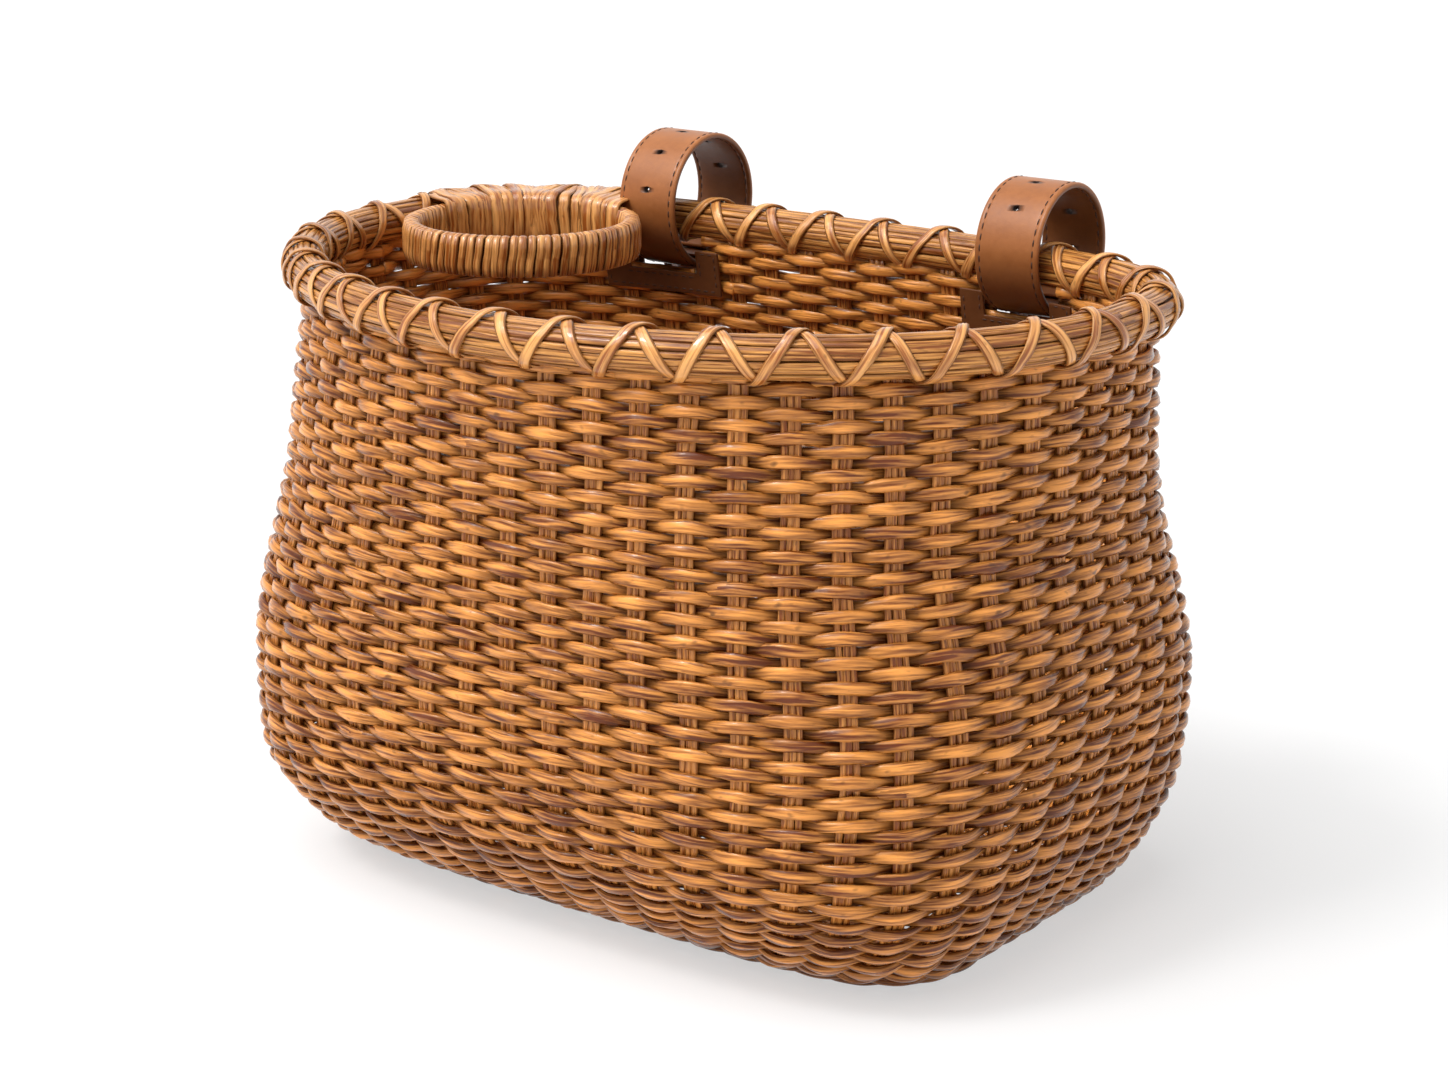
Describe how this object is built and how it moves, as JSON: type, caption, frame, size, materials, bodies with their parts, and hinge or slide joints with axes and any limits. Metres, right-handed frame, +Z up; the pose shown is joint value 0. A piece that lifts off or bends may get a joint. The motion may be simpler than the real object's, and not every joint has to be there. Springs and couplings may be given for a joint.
{
  "type": "bicycle basket",
  "caption": "Woven rattan handlebar basket with a bulging wall, a laced bundle rim, a wrapped cup ring in one corner and buckled leather strap loops.",
  "frame": {"origin": "on the flat underside of the base, midway along the basket's length and on the level line where the basket is longest", "axes": "+Z up, +X along the basket's length to the right as seen from the front, -Y towards the bulging front, +Y towards the bicycle and the straps"},
  "size_m": [0.3635, 0.2745, 0.2734],
  "materials": {
    "woven_rattan": "varnished brown rattan, plain weave",
    "rim_rattan": "varnished rattan splits laid side by side",
    "lacing_cane": "glossy varnished flat cane",
    "strap_leather": "smooth brown leather with stitched edges",
    "patch_leather": "thin dark brown leather",
    "buckle_brass": "dull aged brass"
  },
  "bodies": {
    "basket": {"wall_weave": "woven_rattan", "base_panel": "woven_rattan", "rim_core": "rim_rattan", "rim_reed_1": "rim_rattan", "rim_reed_2": "rim_rattan", "rim_reed_3": "rim_rattan", "rim_reed_4": "rim_rattan", "rim_reed_5": "rim_rattan", "rim_reed_6": "rim_rattan", "rim_reed_7": "rim_rattan", "rim_reed_8": "rim_rattan", "rim_lace_a_1": "lacing_cane", "rim_lace_a_2": "lacing_cane", "rim_lace_b_1": "lacing_cane", "rim_lace_b_2": "lacing_cane", "ring_hoop": "rim_rattan", "ring_wrap_1": "lacing_cane", "ring_wrap_2": "lacing_cane", "ring_tie": "lacing_cane", "slot_patch_left_inner": "patch_leather", "slot_patch_left_outer": "patch_leather", "slot_patch_right_inner": "patch_leather", "slot_patch_right_outer": "patch_leather"},
    "strap_left": {"strap_left": "strap_leather"},
    "buckle_frame_left": {"buckle_frame_left": "buckle_brass"},
    "buckle_prong_left": {"buckle_prong_left": "buckle_brass"},
    "keeper_left": {"keeper_left": "strap_leather"},
    "strap_right": {"strap_right": "strap_leather"},
    "buckle_frame_right": {"buckle_frame_right": "buckle_brass"},
    "buckle_prong_right": {"buckle_prong_right": "buckle_brass"},
    "keeper_right": {"keeper_right": "strap_leather"}
  },
  "joints": [
    {"name": "strap_left_draw_round", "type": "hinge", "parent": "basket", "child": "strap_left", "pos_m": [-0.086, 0.099, 0.24521], "axis": [1, 0, 0], "range_deg": [-3, 120]},
    {"name": "buckle_frame_left_lift", "type": "hinge", "parent": "strap_left", "child": "buckle_frame_left", "pos_m": [-0.086, 0.11323, 0.22563], "axis": [-1, 0, 0], "range_deg": [0, 8]},
    {"name": "buckle_prong_left_lift", "type": "hinge", "parent": "strap_left", "child": "buckle_prong_left", "pos_m": [-0.086, 0.11323, 0.22563], "axis": [-1, 0, 0], "range_deg": [0, 8]},
    {"name": "keeper_left_slip", "type": "hinge", "parent": "strap_left", "child": "keeper_left", "pos_m": [-0.086, 0.099, 0.24521], "axis": [1, 0, 0], "range_deg": [-4, 2.5]},
    {"name": "strap_right_draw_round", "type": "hinge", "parent": "basket", "child": "strap_right", "pos_m": [0.086, 0.099, 0.24338], "axis": [1, 0, 0], "range_deg": [-3, 120]},
    {"name": "buckle_frame_right_lift", "type": "hinge", "parent": "strap_right", "child": "buckle_frame_right", "pos_m": [0.086, 0.11217, 0.22526], "axis": [-1, 0, 0], "range_deg": [0, 8]},
    {"name": "buckle_prong_right_lift", "type": "hinge", "parent": "strap_right", "child": "buckle_prong_right", "pos_m": [0.086, 0.11217, 0.22526], "axis": [-1, 0, 0], "range_deg": [0, 8]},
    {"name": "keeper_right_slip", "type": "hinge", "parent": "strap_right", "child": "keeper_right", "pos_m": [0.086, 0.099, 0.24338], "axis": [1, 0, 0], "range_deg": [-4, 2.5]}
  ],
  "couplings": [
    {"joint": "buckle_prong_left_lift", "follows": "buckle_frame_left_lift", "ratio": 1},
    {"joint": "buckle_prong_right_lift", "follows": "buckle_frame_right_lift", "ratio": 1}
  ]
}
